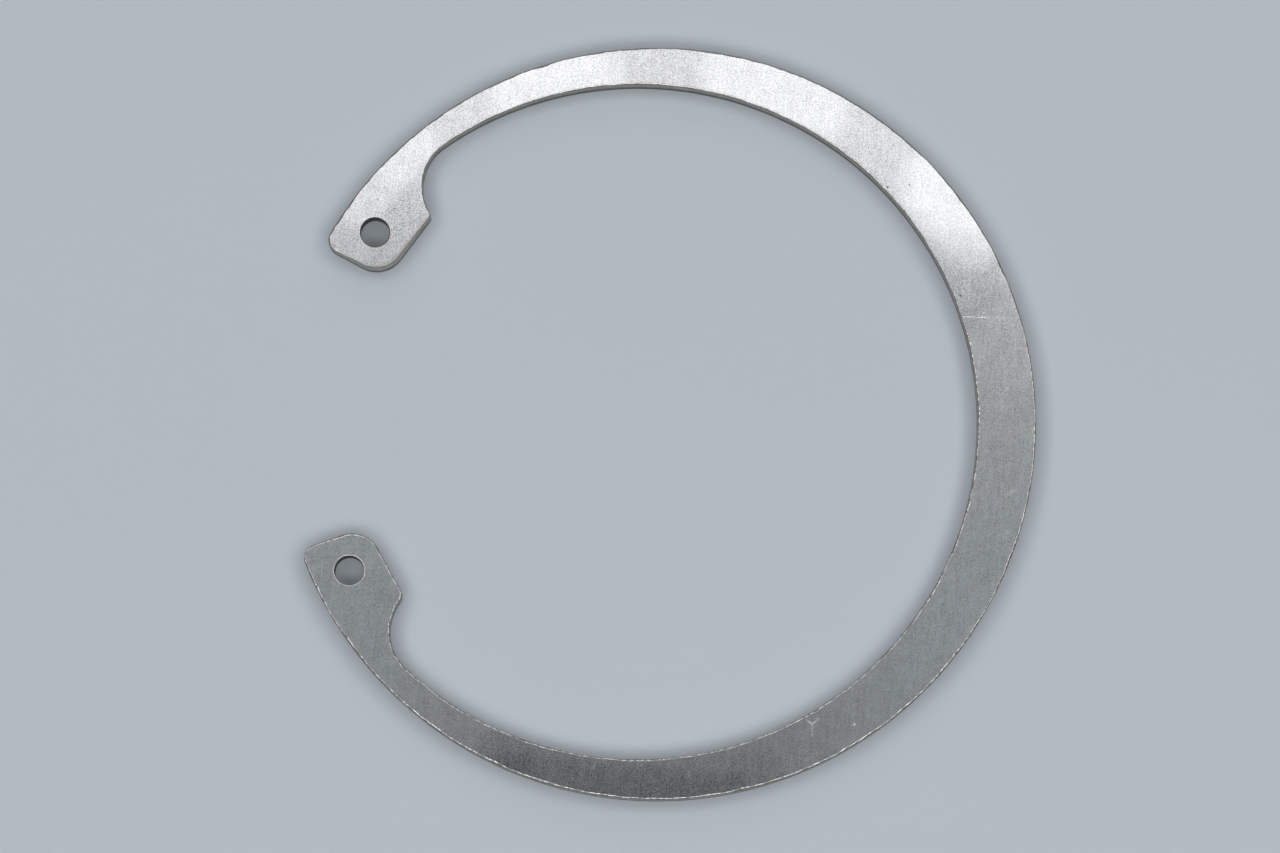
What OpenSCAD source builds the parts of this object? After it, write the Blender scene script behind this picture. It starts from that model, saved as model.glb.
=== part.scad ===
// Internal retaining ring: one flat blank of spring steel, with a tapered band and two plier lugs.
// The ring lies flat. Its axis is Z, its middle plane is Z = 0, and the gap between the lugs faces -X.

/* [Ring] */
// Outside diameter of the free ring
outer_d = 90.5; // [75:0.5:120]
// Thickness of the blank
thickness = 3; // [1.5:0.1:5]
// Radial width of the band at the back, opposite the gap
back_w = 6.95; // [5:0.05:8]
// Radial width that the band's taper would reach at the middle of the gap
front_w = 2.4; // [1.5:0.05:3.5]
// Width of the broken edge along every side and hole
edge_break = 0.15; // [0.05:0.01:0.3]

/* [Lugs] */
// Angle between the two end faces, seen from the axis
gap_angle = 48; // [36:0.5:70]
// Depth of a lug, from the rim in to its flat
lug_depth = 8.75; // [7.5:0.05:10]
// Width of a lug, from its end face to its beak
lug_w = 9.3; // [8:0.1:10.5]
// Angle from the end face to where the flat lies square to the radius
flat_lead = 8.5; // [4:0.5:14]
// Corner radius between the rim and the end face
heel_r = 1.6; // [0.8:0.1:2.2]
// Corner radius between the end face and the flat
tip_r = 3.6; // [2:0.1:4.5]
// Corner radius of the beak, where the flat meets the relief
beak_r = 0.8; // [0.35:0.05:1.2]
// Radius of the relief between the beak and the band
relief_r = 6.1; // [4.5:0.1:8]

/* [Plier holes] */
// Diameter of a plier hole
hole_d = 3.5; // [2.5:0.1:4.5]
// Distance from the rim in to the centre of a plier hole
hole_inset = 4.45; // [3.5:0.05:5.5]
// Distance from the end face to the centre of a plier hole
hole_setback = 4.3; // [3.5:0.05:5.5]

/* [Hidden] */
$fn = 128;

// How far a corner round stands past the sides that it joins, so that their surfaces cross
blend = 0.005;
// How far the cutters and the band's stock run past the finished ring
spare = 1;
// How far the lugs and their rounds stand past the two faces, which the rim's disc then trims
lug_over = 0.2;
round_over = 0.1;

half_t = thickness / 2;
rim_r = outer_d / 2;
reach = 2 * rim_r;

// The band's inner edge is a circle, set off the axis towards the gap
inner_r = (outer_d - back_w - front_w) / 2;
offset_x = (back_w - front_w) / 2;
// How far the band runs on into the lugs, as an angle about the inner circle's centre
band_lap = 3;

// A lug is drawn with its end face on the X axis, the ring's axis at the origin and the lug at +Y
lug_turn = 180 + gap_angle / 2;
flat_n = [cos(flat_lead), sin(flat_lead)];
flat_t = [-sin(flat_lead), cos(flat_lead)];
flat_r = rim_r - lug_depth;
inner_c = offset_x * [cos(gap_angle / 2), -sin(gap_angle / 2)];
heel_c = [sqrt(pow(rim_r - heel_r, 2) - pow(heel_r, 2)), heel_r];
tip_c = [(flat_r + tip_r - tip_r * sin(flat_lead)) / cos(flat_lead), tip_r];
hole_c = [sqrt(pow(rim_r - hole_inset, 2) - pow(hole_setback, 2)), hole_setback];

// The lug's corners before they are rounded
heel_p = [rim_r, 0];
tip_p = [flat_r / cos(flat_lead), 0];
beak_p = [(flat_r - lug_w * sin(flat_lead)) / cos(flat_lead), lug_w];

// The relief passes through the beak and runs into the inner circle
relief_c = crossing(inner_c, inner_r - relief_r + blend, beak_p, relief_r);
relief_dir = (relief_c - inner_c) / norm(relief_c - inner_c);
band_turn = lug_turn + atan2(relief_dir[1], relief_dir[0]) - band_lap;

// The beak's round lies against the flat and the relief
beak_line = (flat_r + beak_r) * flat_n;
beak_c = beak_line + nearer_root(beak_line - relief_c, flat_t, relief_r + beak_r) * flat_t;

// Crossing of two circles that lies on the left of the line from p to q
function crossing(p, rp, q, rq) =
    let (
        gap = norm(q - p),
        along = (pow(rp, 2) - pow(rq, 2) + pow(gap, 2)) / (2 * gap),
        aside = sqrt(pow(rp, 2) - pow(along, 2)),
        u = (q - p) / gap
    )
    p + along * u + aside * [-u[1], u[0]];

// First step s along the direction t at which the point from + s * t lies r from the origin
function nearer_root(from, t, r) = -(from * t) - sqrt(pow(from * t, 2) - from * from + pow(r, 2));

// Disc with broken edges, whose slopes run on past the two faces
module edged_disc(r, over) {
    top_r = r - edge_break - over;
    top_z = half_t + over;
    rotate_extrude()
        polygon([
            [0, -top_z],
            [top_r, -top_z],
            [r, -half_t + edge_break],
            [r, half_t - edge_break],
            [top_r, top_z],
            [0, top_z]
        ]);
}

// Cutter for a round opening, flared so that it leaves broken edges
module flared_cutter(r) {
    flare_r = r + edge_break + spare;
    flare_z = half_t + spare;
    rotate_extrude()
        polygon([
            [0, -flare_z],
            [flare_r, -flare_z],
            [r, -half_t + edge_break],
            [r, half_t - edge_break],
            [flare_r, flare_z],
            [0, flare_z]
        ]);
}

// Plate on the +Y side of the X axis, with broken edges along that side
module edged_plate() {
    top_y = edge_break + lug_over;
    top_z = half_t + lug_over;
    rotate([90, 0, 90])
        linear_extrude(2 * reach, center = true)
            polygon([
                [0, -half_t + edge_break],
                [top_y, -top_z],
                [reach, -top_z],
                [reach, top_z],
                [top_y, top_z],
                [0, half_t - edge_break]
            ]);
}

// Prism through the whole thickness
module through(points) {
    linear_extrude(thickness + 4 * spare, center = true)
        polygon(points);
}

// Cutter that takes the sharp corner p off, between a round's radii along the unit directions d and e
module corner_cut(c, r, d, e, p) {
    out = (p - c) / norm(p - c);
    through([c, c + (r + spare) * d, p + spare * out, c + (r + spare) * e]);
}

// Corner round, standing the blend past its sides
module corner_round(c, r) {
    translate([c[0], c[1], 0])
        edged_disc(r + blend, round_over);
}

// Lug between its end face, its flat and the relief, with its corners cut out for the rounds
module lug_core() {
    difference() {
        intersection() {
            edged_plate();
            rotate(flat_lead - 90)
                translate([0, flat_r, 0])
                    edged_plate();
            through([inner_c, [reach, inner_c[1]], inner_c + reach * relief_dir]);
        }
        translate([relief_c[0], relief_c[1], 0])
            flared_cutter(relief_r);
        corner_cut(tip_c, tip_r, [0, -1], -flat_n, tip_p);
        corner_cut(beak_c, beak_r, -flat_n, (relief_c - beak_c) / norm(relief_c - beak_c), beak_p);
        corner_cut(heel_c, heel_r, [0, -1], heel_c / norm(heel_c), heel_p);
    }
}

module lug() {
    rotate(lug_turn) {
        lug_core();
        corner_round(tip_c, tip_r);
        corner_round(beak_c, beak_r);
        corner_round(heel_c, heel_r);
    }
}

// Band as far as a little way into each lug, left wider and thicker than the finished ring
module band() {
    side = reach * [cos(band_turn), sin(band_turn)];
    other = [side[0], -side[1]];
    difference() {
        cylinder(r = rim_r + spare, h = thickness + spare, center = true);
        translate([-offset_x, 0, 0]) {
            flared_cutter(inner_r);
            through([side / 4, other / 4, other, [-reach, 0], side]);
        }
    }
}

module plier_hole() {
    rotate(lug_turn)
        translate([hole_c[0], hole_c[1], 0])
            flared_cutter(hole_d / 2);
}

module retaining_ring() {
    color("silver")
        difference() {
            intersection() {
                edged_disc(rim_r, 0);
                union() {
                    band();
                    lug();
                    mirror([0, 1, 0])
                        lug();
                }
            }
            plier_hole();
            mirror([0, 1, 0])
                plier_hole();
        }
}

retaining_ring();
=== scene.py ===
import bpy
import bmesh
from math import atan2, cos, exp, pi, radians, sin, sqrt
from mathutils import Matrix, Vector, noise


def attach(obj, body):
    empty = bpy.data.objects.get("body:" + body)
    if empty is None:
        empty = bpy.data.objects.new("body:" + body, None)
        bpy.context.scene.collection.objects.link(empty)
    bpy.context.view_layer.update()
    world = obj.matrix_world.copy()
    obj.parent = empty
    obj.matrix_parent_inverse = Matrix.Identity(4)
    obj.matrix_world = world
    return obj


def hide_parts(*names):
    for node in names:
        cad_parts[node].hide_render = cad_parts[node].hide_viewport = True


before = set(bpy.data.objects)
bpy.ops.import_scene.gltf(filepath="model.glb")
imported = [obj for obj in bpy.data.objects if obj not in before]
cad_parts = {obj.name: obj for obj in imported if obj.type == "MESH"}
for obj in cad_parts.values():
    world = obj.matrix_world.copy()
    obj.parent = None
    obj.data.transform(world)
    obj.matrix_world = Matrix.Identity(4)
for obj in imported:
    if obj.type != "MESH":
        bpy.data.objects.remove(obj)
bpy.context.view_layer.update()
mm = 0.001
print("frame loaded:", sorted(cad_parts))


# shader wiring: a socket that takes part in sums, and one way to add any other node

class Wire:
    tree = None

    def __init__(self, socket):
        self.socket = socket

    @classmethod
    def node(cls, kind, settings=None, sockets=None, out=0):
        made = cls.tree.nodes.new(kind)
        for key, value in (settings or {}).items():
            setattr(made, key, value)
        for key, value in (sockets or {}).items():
            if isinstance(value, Wire):
                cls.tree.links.new(value.socket, made.inputs[key])
            else:
                made.inputs[key].default_value = value
        return Wire(made.outputs[out]) if len(made.outputs) else made

    @classmethod
    def sum(cls, operation, a, b=0.0, clamp=False):
        return cls.node("ShaderNodeMath", {"operation": operation, "use_clamp": clamp}, {0: a, 1: b})

    def __add__(self, other): return Wire.sum("ADD", self, other)
    def __radd__(self, other): return Wire.sum("ADD", other, self)
    def __sub__(self, other): return Wire.sum("SUBTRACT", self, other)
    def __rsub__(self, other): return Wire.sum("SUBTRACT", other, self)
    def __mul__(self, other): return Wire.sum("MULTIPLY", self, other)
    def __rmul__(self, other): return Wire.sum("MULTIPLY", other, self)
    def __truediv__(self, other): return Wire.sum("DIVIDE", self, other)
    def __neg__(self): return Wire.sum("SUBTRACT", 0.0, self)
    def __abs__(self): return Wire.sum("ABSOLUTE", self)

    def most(self, other): return Wire.sum("MAXIMUM", self, other)
    def held(self): return Wire.sum("ADD", self, 0.0, True)  # kept within 0 and 1

    def ease(self, low, high):  # smooth step from 0 at low to 1 at high
        return Wire.node("ShaderNodeMapRange", {"interpolation_type": "SMOOTHSTEP"},
                         {0: self, 1: low, 2: high, 3: 0.0, 4: 1.0})


def newMaterial(name):
    material = bpy.data.materials.new(name)
    material.use_nodes = True
    Wire.tree = material.node_tree
    Wire.tree.nodes.clear()
    return material


def addObject(name, data):
    made = bpy.data.objects.new(name, data)
    bpy.context.scene.collection.objects.link(made)
    return made


# the ring's mesh: the solid's own outline on finer arcs, with rolled edges

ringSizes = {  # millimetres and degrees, as in the solid
    "outerD": 90.5, "thickness": 3.0, "backW": 6.95, "frontW": 2.4,
    "gapAngle": 48.0, "lugDepth": 8.75, "flatLead": 8.5,
    "heelR": 1.6, "tipR": 3.6, "reliefR": 6.1,
    "holeD": 3.5, "holeInset": 4.45, "holeSetback": 4.3,
    "upperBeak": {"beakR": 0.65, "lugW": 9.3}, "lowerBeak": {"beakR": 1.1, "lugW": 9.4},  # lower one is blunter
    "pitch": 0.3, "holePitch": 0.15, "fewest": 6, "samePoint": 1e-4,  # steps along the outline
    "topRoll": 0.22, "bottomRoll": 0.13, "holeRolls": (0.15, 0.06), "rollSteps": 5,  # lower hole, upper hole
    "rollVaries": 0.5, "wearScale": 0.45, "fineWear": 0.8, "fineScale": 1.9, "fineLayer": 7,
    "wornAt": (-33.0, 17.0), "wornSpan": 3.0, "wornRoll": 0.28,  # the upper lug's tip is rounded over further
    "nickAt": (-29.6, 23.5), "nickSpan": 0.3, "nickDepth": 0.2,  # a small nick in front of the upper beak
}


def arcPoints(centre, radius, start, end, pitch, hollow=False):
    count = max(ringSizes["fewest"], round(abs(end - start) * radius / pitch))
    side = -1 if hollow else 1
    points = []
    for i in range(count + 1):
        a = start + (end - start) * i / count
        n = Vector((cos(a), sin(a)))
        points.append((Vector(centre) + radius * n, side * n))
    return points


def halfOutline(s):
    # drawn with the end face on the X axis and the ring's axis at the origin, then turned into place
    rim = s["outerD"] / 2
    gap = radians(s["gapAngle"]) / 2
    lead = radians(s["flatLead"])
    innerR = (s["outerD"] - s["backW"] - s["frontW"]) / 2
    inner = (s["backW"] - s["frontW"]) / 2 * Vector((cos(gap), -sin(gap)))
    flatN, flatT = Vector((cos(lead), sin(lead))), Vector((-sin(lead), cos(lead)))
    flatR = rim - s["lugDepth"]
    heel = Vector((sqrt((rim - s["heelR"]) ** 2 - s["heelR"] ** 2), s["heelR"]))
    tip = Vector(((flatR + s["tipR"] * (1 - sin(lead))) / cos(lead), s["tipR"]))
    corner = Vector(((flatR - s["lugW"] * sin(lead)) / cos(lead), s["lugW"]))
    # the relief passes through the beak's corner and touches the inner circle
    span = corner - inner
    reach, reliefReach = span.length, innerR - s["reliefR"]
    along = (reliefReach ** 2 - s["reliefR"] ** 2 + reach ** 2) / (2 * reach)
    u = span / reach
    relief = inner + along * u + sqrt(reliefReach ** 2 - along ** 2) * Vector((-u.y, u.x))
    # the beak's round lies on the flat and against the relief
    line = (flatR + s["beakR"]) * flatN
    w = line - relief
    past = w.dot(flatT)
    touch = s["reliefR"] + s["beakR"]
    beak = line + (-past - sqrt(past ** 2 - w.length_squared + touch ** 2)) * flatT
    toRelief = relief - beak
    reliefTurn = atan2((relief - inner).y, (relief - inner).x)
    heelTurn = atan2(heel.y, heel.x)
    back = pi - gap
    p = s["pitch"]  # finer on the small rounds
    path = arcPoints((0, 0), rim, back, heelTurn, p)
    path += arcPoints(heel, s["heelR"], heelTurn, -pi / 2, p / 2)
    path += arcPoints(tip, s["tipR"], -pi / 2, lead - pi, p / 2)
    path += arcPoints(beak, s["beakR"], lead + pi, atan2(toRelief.y, toRelief.x), p / 5)
    path += arcPoints(relief, s["reliefR"], atan2(-toRelief.y, -toRelief.x), reliefTurn, p / 2, True)
    path += arcPoints(inner, innerR, reliefTurn, back, p, True)
    turn = Matrix.Rotation(pi + gap, 2)
    clean = []
    for point, n in path:
        if not clean or (turn @ point - clean[-1][0]).length > s["samePoint"]:
            clean.append((turn @ point, turn @ n))
    hole = Vector((sqrt((rim - s["holeInset"]) ** 2 - s["holeSetback"] ** 2), s["holeSetback"]))
    return clean, turn @ hole


def flip(v):
    return Vector((v.x, -v.y))


def nearness(point, at, span):
    return exp(-(point - Vector(at)).length_squared / (2 * span * span))


def ringLoops(s):
    lower, hole = halfOutline({**s, **s["lowerBeak"]})
    upper = halfOutline({**s, **s["upperBeak"]})[0][1:-1]
    upper = [(flip(p), flip(n)) for p, n in reversed(upper)]
    upper = [(p - s["nickDepth"] * nearness(p, s["nickAt"], s["nickSpan"]) * n, n) for p, n in upper]
    loops = [lower + upper]
    for centre in (hole, flip(hole)):
        loops.append(arcPoints(centre, s["holeD"] / 2, 0, 2 * pi, s["holePitch"], True)[:-1])
    return loops


def makeRing(s):
    mesh = bpy.data.meshes.new("ring")
    bm = bmesh.new()
    normals, topEdges, bottomEdges = [], [], []
    half = s["thickness"] / 2
    steps = range(s["rollSteps"] + 1)
    for loop, topRoll in zip(ringLoops(s), (s["topRoll"], *s["holeRolls"])):
        rows = []
        for point, n in loop:
            wear = noise.noise(Vector((point.x, point.y, 0)) * s["wearScale"])
            wear += s["fineWear"] * noise.noise(Vector((point.x, point.y, s["fineLayer"])) * s["fineScale"])
            column = []
            for sign, roll in ((1, topRoll), (-1, s["bottomRoll"])):
                roll *= 1 + s["rollVaries"] * wear
                if sign > 0:
                    roll += s["wornRoll"] * nearness(point, s["wornAt"], s["wornSpan"])
                for step in steps if sign > 0 else reversed(steps):
                    a = pi / 2 * step / s["rollSteps"]
                    at = point - roll * (1 - sin(a)) * n
                    z = sign * (half - roll * (1 - cos(a)))
                    column.append(bm.verts.new((at.x * mm, at.y * mm, z * mm)))
                    normals.append((n.x * sin(a), n.y * sin(a), sign * cos(a)))
            rows.append(column)
        for here, there in zip(rows, rows[1:] + rows[:1]):
            for i in range(len(here) - 1):
                bm.faces.new((here[i], there[i], there[i + 1], here[i + 1]))
            topEdges.append(bm.edges.get((here[0], there[0])))
            bottomEdges.append(bm.edges.get((here[-1], there[-1])))
    for edges in (topEdges, bottomEdges):
        bmesh.ops.triangle_fill(bm, use_beauty=True, edges=edges)
    bmesh.ops.recalc_face_normals(bm, faces=bm.faces)
    for face in bm.faces:
        face.smooth = True
    bm.to_mesh(mesh)
    bm.free()
    mesh.normals_split_custom_set_from_vertices(normals)
    return addObject("ring", mesh)


# bare spring steel: fine mottled grain, faint rolling streaks, sheared walls, a few marks

steelLook = {  # millimetres, with heights from the ring's middle plane
    # faces: dull and bright tone, the share of the bright one, and how far the grain may darken
    "face": (0.715, 0.72, 0.7365, 1), "faceDull": (0.36, 0.3625, 0.373, 1), "shade": 0.47, "darkest": -0.6,
    "grainSize": 0.17, "mottleSize": 1.19, "streakWidth": 0.25, "streakLength": 3.0,
    "grainWeight": 2.0, "mottleWeight": 0.45, "streakWeight": 0.6,
    "noiseDetail": 2.0, "noiseRoughness": 0.6, "noiseMean": 0.5,
    # the grain stands out more on the upper half, most of all on its lug, where its contrast is painted stronger
    # as glints of the bright reflection there, and at the bottom
    "upperHalf": (2.0, 24.0), "upperGrain": 0.45, "lugFrom": (24.0, 34.0), "lugGrain": 0.3,
    "bottomFrom": (36.0, 41.0), "bottomGrain": 0.4,
    # painted highlights and painted shade: the bright patches stand in for reflected lamps on the upper half,
    # the dull ones for darker reflections, most of all across the bottom
    "paintedSheenAndShade": [  # broad bright and dull patches: from, to, half width, strength
        (35.6, 26.6, 32.3, 30.6, 4.7, 0.74), (24.5, 34.5, 20.0, 37.3, 3.6, 0.07),
        (15.5, 39.0, 7.0, 42.2, 4.2, 0.37), (-12.0, 41.0, -17.6, 38.6, 4.4, 0.40),
        (-31.0, 31.0, -37.5, 23.5, 2.2, 0.36), (-38.4, 22.5, -37.8, 18.5, 2.0, 0.1),
        (-23.0, 35.0, -32.0, 29.5, 3.5, 0.14), (36.5, 16.5, 33.5, 22.0, 3.6, -0.16),
        (-14.0, -44.0, 11.0, -45.0, 3.1, -0.38), (-16.0, -40.6, -14.0, -41.4, 2.2, -0.2),
        (13.8, -41.0, 15.2, -40.6, 2.2, -0.2),
    ],
    # rolled edges: bright and dull chips, partly wear and partly a painted highlight line; round the holes and
    # on the upper half they are joined up as painted highlight, and on the upper half's rim they are dulled as
    # painted shade
    "edge": (0.68, 0.67, 0.64, 1), "edgeDull": (0.15, 0.14, 0.122, 1), "rollFrom": (1.488, 1.4999),
    "chipSize": 0.5, "chipShare": (0.42, 0.60), "upperEdgeHighlight": 0.65, "holeEdgeHighlight": 0.75, "upperRimShade": 0.85,
    "rimFrom": (1900.0, 1990.0),  # squared distance from the ring's axis
    # the upper lug's rounded-over tip: worn, and its edge painted darker as shade
    "wornShadedEdge": (0.27, 0.26, 0.235, 1), "wornPatch": (-36.0, 16.3, -30.2, 20.6, 2.6),
    "wornBase": 0.6, "wornChips": 0.4,
    # painted shade: a dark line just under the edge, where the rolled edge faces the shadowed floor
    "paintedEdgeShade": (0.24, 0.218, 0.19, 1), "lipWeight": 0.8, "lipFrom": (1.16, 1.26), "lipTo": (1.455, 1.482),
    # sheared walls, smoother near the top, and the holes' walls painted darker as shade inside the holes
    "wall": (0.09, 0.077, 0.062, 1), "burnished": (0.56, 0.535, 0.49, 1), "wallTo": (1.20, 1.40),
    "shearStretch": (5.0, 5.0, 0.35), "shearWeight": 1.1, "wallMottle": 0.8,
    "burnishFrom": (-1.3, 1.2), "burnishBase": 0.85, "burnishVaries": 0.8,
    "holeWallShade": (0.05, 0.042, 0.034, 1), "holes": [(-35.316, 20.431), (-35.316, -20.431)],
    "holeTo": (3.6, 5.0),  # squared distance from a hole's axis
    # marks, on the top face only
    "mark": (0.90, 0.89, 0.87, 1), "pit": (0.09, 0.08, 0.08, 1), "topFrom": (1.44, 1.48),
    "softSide": (0.2, 2.2),  # where a stroke begins and ends to fade, in squares of its half width
    "markGrain": 0.5, "markShare": (0.35, 0.65), "markBase": 0.45, "markVaries": 0.9,
    "scratches": [  # from, to, half width, strength
        (35.67, 15.08, 38.3, 15.2, 0.05, 0.55), (38.3, 15.2, 42.5, 15.43, 0.045, 0.26),
        (37.9, 15.6, 38.3, 15.8, 0.06, 0.4),
        (20.9, -34.9, 21.6, -34.2, 0.13, 0.22), (20.9, -34.9, 20.2, -34.5, 0.13, 0.22),
        (20.9, -34.9, 20.95, -36.3, 0.10, 0.18), (25.85, -34.56, 25.9, -34.56, 0.16, 0.37),
        (42.0, -6.1, 42.9, -5.4, 0.14, 0.16), (42.2, -11.0, 42.5, -10.4, 0.14, 0.16),
        (41.2, 6.4, 41.5, 7.1, 0.14, 0.14), (-4.4, -41.1, -4.7, -41.9, 0.08, 0.2),
        (6.7, -41.5, 6.75, -42.3, 0.07, 0.2),
    ],
    "pits": [(28.19, 30.61, 0.07), (35.15, 17.59, 0.12), (25.58, 30.13, 0.10)], "pitLength": 0.03,
    # gloss: a clear reflection with a share of haze over it
    "roughness": 0.12, "hazeRoughness": 0.29, "haze": 0.28, "edgeRoughness": 0.26, "wallRoughness": 0.42,
    "grainRoughness": 0.03, "markRoughness": 0.3, "pitRoughness": 0.4,
    # bump
    "waves": 0.05, "waveSize": 12.0, "grainDepth": 0.0025, "streakShare": 0.5, "pitDepth": 0.01,
}


def steelMaterial(look):
    material = newMaterial("bareSpringSteel")
    place = Wire.node("ShaderNodeTexCoord", out="Object")
    place = Wire.node("ShaderNodeVectorMath", {"operation": "SCALE"}, {0: place, 3: 1 / mm})
    x, y, z = (Wire.node("ShaderNodeSeparateXYZ", sockets={0: place}, out=axis) for axis in "XYZ")
    mean = look["noiseMean"]

    def grain(size, stretch=(1, 1, 1), shift=0.0):
        at = Wire.node("ShaderNodeVectorMath", {"operation": "MULTIPLY_ADD"},
                       {0: place, 1: stretch, 2: (shift, shift, shift)})
        return Wire.node("ShaderNodeTexNoise", sockets={
            "Vector": at, "Scale": 1 / size, "Detail": look["noiseDetail"], "Roughness": look["noiseRoughness"]})

    def stroke(x0, y0, x1, y1, half):
        dx, dy = x1 - x0, y1 - y0
        along = (((x - x0) * dx + (y - y0) * dy) / (dx * dx + dy * dy)).held()
        px, py = x - x0 - along * dx, y - y0 - along * dy
        full, gone = look["softSide"]
        return 1 - (px * px + py * py).ease(full * half * half, gone * half * half)

    def spot(px, py):
        return 1 - ((x - px) * (x - px) + (y - py) * (y - py)).ease(*look["holeTo"])

    def anyOf(masks):
        whole = masks[0]
        for mask in masks[1:]:
            whole = whole.most(mask)
        return whole

    def blend(amount, a, b, clamp=True):
        return Wire.node("ShaderNodeMix", {"data_type": "RGBA", "clamp_factor": clamp},
                         {0: amount, 6: a, 7: b}, out=2)

    # where things are
    high = abs(z)
    top = z.ease(*look["topFrom"])
    rolled = 1 - high.ease(*look["rollFrom"])
    wall = 1 - high.ease(*look["wallTo"])
    upper = y.ease(*look["upperHalf"])
    lug = (-x).ease(*look["lugFrom"])
    bottom = (-y).ease(*look["bottomFrom"])
    rim = (x * x + y * y).ease(*look["rimFrom"])
    bore = anyOf([spot(*hole) for hole in look["holes"]])
    worn = stroke(*look["wornPatch"])

    speckle = grain(look["grainSize"])
    mottle = grain(look["mottleSize"], shift=11.0)
    streak = grain(1.0, (1 / look["streakWidth"], 1 / look["streakLength"], 1), shift=5.0)
    broad = grain(look["waveSize"], shift=3.0)
    shear = grain(1.0, look["shearStretch"], shift=9.0)  # streaks across the walls

    # grain contrast painted stronger on the brightly lit upper half and its lug, as glints; stronger at the
    # bottom too
    sparkle = 1 + upper * (look["upperGrain"] + look["lugGrain"] * lug) + look["bottomGrain"] * bottom
    shade = look["shade"] + look["grainWeight"] * sparkle * (speckle - mean)
    shade = shade + look["mottleWeight"] * (mottle - mean) + look["streakWeight"] * (streak - mean)
    # painted highlights and painted shade, patch by patch
    for *line, strength in look["paintedSheenAndShade"]:
        shade = shade + strength * stroke(*line)
    steel = blend(shade.most(look["darkest"]), look["faceDull"], look["face"], clamp=False)

    chips = grain(look["chipSize"], shift=17.0).ease(*look["chipShare"])
    # edges round the holes and on the upper half are painted bright as highlights; the upper rim's edge is
    # painted dark as shade
    chips = chips.most(look["upperEdgeHighlight"] * upper).most(look["holeEdgeHighlight"] * bore)
    chips = chips * (1 - look["upperRimShade"] * upper * rim)
    edge = blend(chips, look["edgeDull"], look["edge"])
    # the worn tip's edge, painted darker as shade of its rounded-over roll
    edge = blend(worn * (look["wornBase"] + look["wornChips"] * chips), edge, look["wornShadedEdge"])
    steel = blend(rolled, steel, edge)

    burnish = z + look["shearWeight"] * (shear - mean) + look["wallMottle"] * (mottle - mean)
    burnish = burnish.ease(*look["burnishFrom"])
    burnish = burnish * (look["burnishBase"] + look["burnishVaries"] * (shear - mean))
    side = blend(burnish.held(), look["wall"], look["burnished"])
    # the holes' walls take a darker colour: painted shade inside the holes
    steel = blend(wall, steel, blend(bore, side, look["holeWallShade"]))
    # painted shade: a dark line just under the edge, left off the worn tip
    paintedEdgeShade = high.ease(*look["lipFrom"]) * (1 - high.ease(*look["lipTo"])) * (1 - worn)
    steel = blend(look["lipWeight"] * paintedEdgeShade, steel, look["paintedEdgeShade"])

    broken = grain(look["markGrain"], shift=29.0).ease(*look["markShare"])
    marks = anyOf([strength * stroke(*line) for *line, strength in look["scratches"]])
    marks = marks * top * (look["markBase"] + look["markVaries"] * broken)
    bit = look["pitLength"]
    pits = anyOf([stroke(px, py, px + bit, py - bit, half) for px, py, half in look["pits"]]) * top
    steel = blend(marks.held(), steel, look["mark"])
    steel = blend(pits, steel, look["pit"])

    relief = look["waves"] * broad + look["grainDepth"] * (speckle + look["streakShare"] * streak)
    relief = relief - look["pitDepth"] * pits
    bump = Wire.node("ShaderNodeBump", sockets={"Strength": 1.0, "Distance": mm, "Height": relief})
    edgeRough = look["edgeRoughness"] + (look["wallRoughness"] - look["edgeRoughness"]) * wall.most(worn)
    coats = []
    for base in (look["roughness"], look["hazeRoughness"]):
        rough = base + look["grainRoughness"] * speckle + (edgeRough - base) * rolled
        rough = rough + look["markRoughness"] * marks + look["pitRoughness"] * pits
        coats.append(Wire.node("ShaderNodeBsdfPrincipled", sockets={
            "Base Color": steel, "Metallic": 1.0, "Roughness": rough, "Normal": bump}))
    shader = Wire.node("ShaderNodeMixShader", sockets={0: look["haze"], 1: coats[0], 2: coats[1]})
    Wire.node("ShaderNodeOutputMaterial", sockets={"Surface": shader})
    return material


ring = makeRing(ringSizes)
ring.data.materials.append(steelMaterial(steelLook))
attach(ring, "root")
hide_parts("retaining_ring")
print("ring:", len(ring.data.vertices), "vertices,", len(ring.data.polygons), "faces")


# the photograph's view: almost straight down, turned a little against the ring

photoView = {  # degrees and metres, with the lens in millimetres
    "tilt": 7.3, "turn": 4.0, "distance": 0.770, "aim": (-0.002009, -0.000433, -0.0015),
    "lens": 180.77, "sensor": 36, "clipStart": 0.01,
}


def fromView(right, up, z):
    a = radians(photoView["turn"])
    x, y, base = photoView["aim"]
    return Vector((x + right * cos(a) - up * sin(a), y + right * sin(a) + up * cos(a), base + z))


def makeCamera(v):
    camera = addObject("camera", bpy.data.cameras.new("camera"))
    tilt = radians(v["tilt"])
    aim = fromView(0, 0, 0)
    eye = fromView(0, -v["distance"] * sin(tilt), v["distance"] * cos(tilt))
    back = (eye - aim).normalized()
    right = (fromView(1, 0, 0) - aim).normalized()
    turn = Matrix((right, back.cross(right), back)).transposed().to_4x4()
    camera.matrix_world = Matrix.Translation(eye) @ turn
    camera.data.sensor_width = v["sensor"]
    camera.data.lens = v["lens"]
    camera.data.clip_start = v["clipStart"]
    bpy.context.scene.camera = camera


makeCamera(photoView)
print("camera ready")


# floor and studio light

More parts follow.
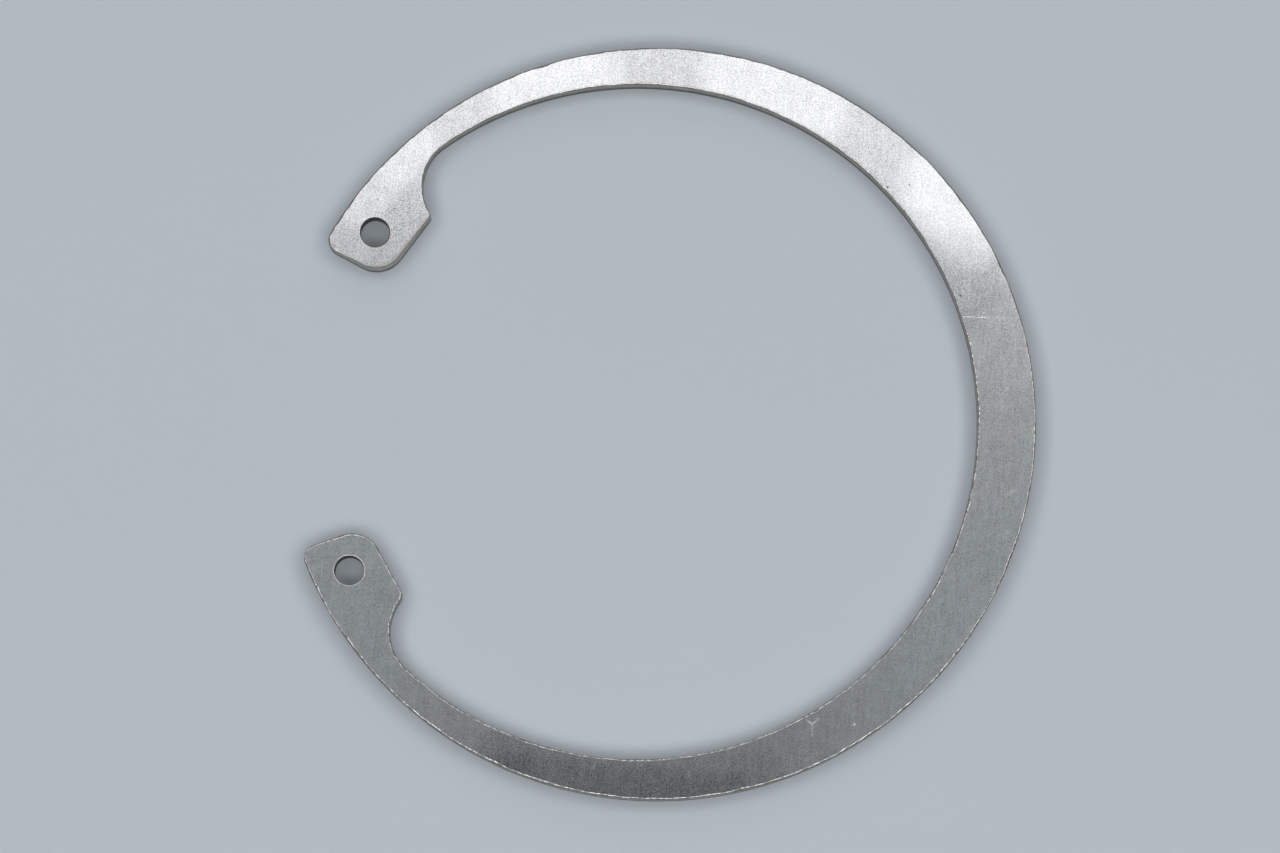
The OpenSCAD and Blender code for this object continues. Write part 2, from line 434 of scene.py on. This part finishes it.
studio = {  # metres
    "floor": (0.445, 0.487, 0.529, 1), "floorPaler": 1.03, "cloudScale": 14.0, "cloudDetail": 2.0,
    "floorRoughness": 0.75, "floorShine": 0.2, "floorHalf": 2,
    "room": (0.9, 0.97, 1.03, 1), "world": 0.035, "horizon": 0.5, "horizonFade": (0.35, 0.75),
    "ceilingTint": (0.95, 1.06, 1.09), "dim": 1,  # panels dimmer than this take the tint
    "ceiling": [  # left, right, near and far sides, height, brightness, turn
        (-0.50, 0.50, 0.1405, 0.46, 0.76, 1.50, -3.0),
        (-0.33, 0.33, 0.030, 0.137, 0.76, 0.29, 0.0),
        (-0.33, -0.050, -0.21, 0.029, 0.76, 0.29, 0.0),
        (0.050, 0.33, -0.21, 0.029, 0.76, 0.29, 0.0),
        (-0.66, -0.34, -0.20, 0.45, 0.76, 3.2, 0.0),
        (0.34, 0.66, -0.20, 0.45, 0.76, 3.2, 0.0),
        (-0.60, 0.60, -0.62, -0.22, 0.76, 3.2, 0.0),
    ],
    "stand": (0.0, 0.80, 0.55, 1.4, 0.45, 0.95),  # right, up and height of the centre, width, depth, brightness
}


def floorMaterial(s):
    material = newMaterial("paleFloor")
    place = Wire.node("ShaderNodeTexCoord", out="Object")
    cloud = Wire.node("ShaderNodeTexNoise", sockets={
        "Vector": place, "Scale": s["cloudScale"], "Detail": s["cloudDetail"]})
    paler = tuple(c * s["floorPaler"] for c in s["floor"][:3]) + (1,)
    tone = Wire.node("ShaderNodeMix", {"data_type": "RGBA"}, {0: cloud, 6: s["floor"], 7: paler}, out=2)
    shader = Wire.node("ShaderNodeBsdfPrincipled", sockets={
        "Base Color": tone, "Roughness": s["floorRoughness"], "Specular IOR Level": s["floorShine"]})
    Wire.node("ShaderNodeOutputMaterial", sockets={"Surface": shader})
    return material


def makeFloor(s):
    mesh = bpy.data.meshes.new("floor")
    z = -ringSizes["thickness"] / 2 * mm
    far = s["floorHalf"]
    mesh.from_pydata([(-far, -far, z), (far, -far, z), (far, far, z), (-far, far, z)], [], [(0, 1, 2, 3)])
    floor = addObject("floor", mesh)
    floor.data.materials.append(floorMaterial(s))


def addPanel(right, up, high, width, depth, bright):
    light = bpy.data.lights.new("panel", "AREA")
    light.shape = "RECTANGLE"
    light.size, light.size_y = width, depth
    light.energy = bright * pi * width * depth
    panel = addObject("panel", light)
    panel.location = fromView(right, up, high)
    return panel


def makeLights(s):
    for left, right, near, far, high, bright, turn in s["ceiling"]:
        panel = addPanel((left + right) / 2, (near + far) / 2, high, right - left, far - near, bright)
        panel.rotation_euler = (0, 0, radians(photoView["turn"] + turn))
        panel.data.color = s["ceilingTint"] if bright < s["dim"] else (1, 1, 1)
    panel = addPanel(*s["stand"])
    panel.rotation_euler = (fromView(0, 0, 0) - panel.location).to_track_quat("-Z", "Y").to_euler()


def makeRoom(s):
    world = bpy.data.worlds.new("room")
    world.use_nodes = True
    Wire.tree = world.node_tree
    Wire.tree.nodes.clear()
    # a pale surround, low down, that only the camera and reflections see
    way = Wire.node("ShaderNodeTexCoord", out="Generated")
    low = 1 - Wire.node("ShaderNodeSeparateXYZ", sockets={0: way}, out="Z").ease(*s["horizonFade"])
    direct, glossy = (Wire.node("ShaderNodeLightPath", out=ray) for ray in ("Is Camera Ray", "Is Glossy Ray"))
    bright = s["world"] + s["horizon"] * direct.most(glossy) * low
    room = Wire.node("ShaderNodeBackground", sockets={0: s["room"], 1: bright})
    Wire.node("ShaderNodeOutputWorld", sockets={0: room})
    bpy.context.scene.world = world
    bpy.context.scene.view_settings.view_transform = "Standard"


makeFloor(studio)
makeLights(studio)
makeRoom(studio)
print("studio ready")
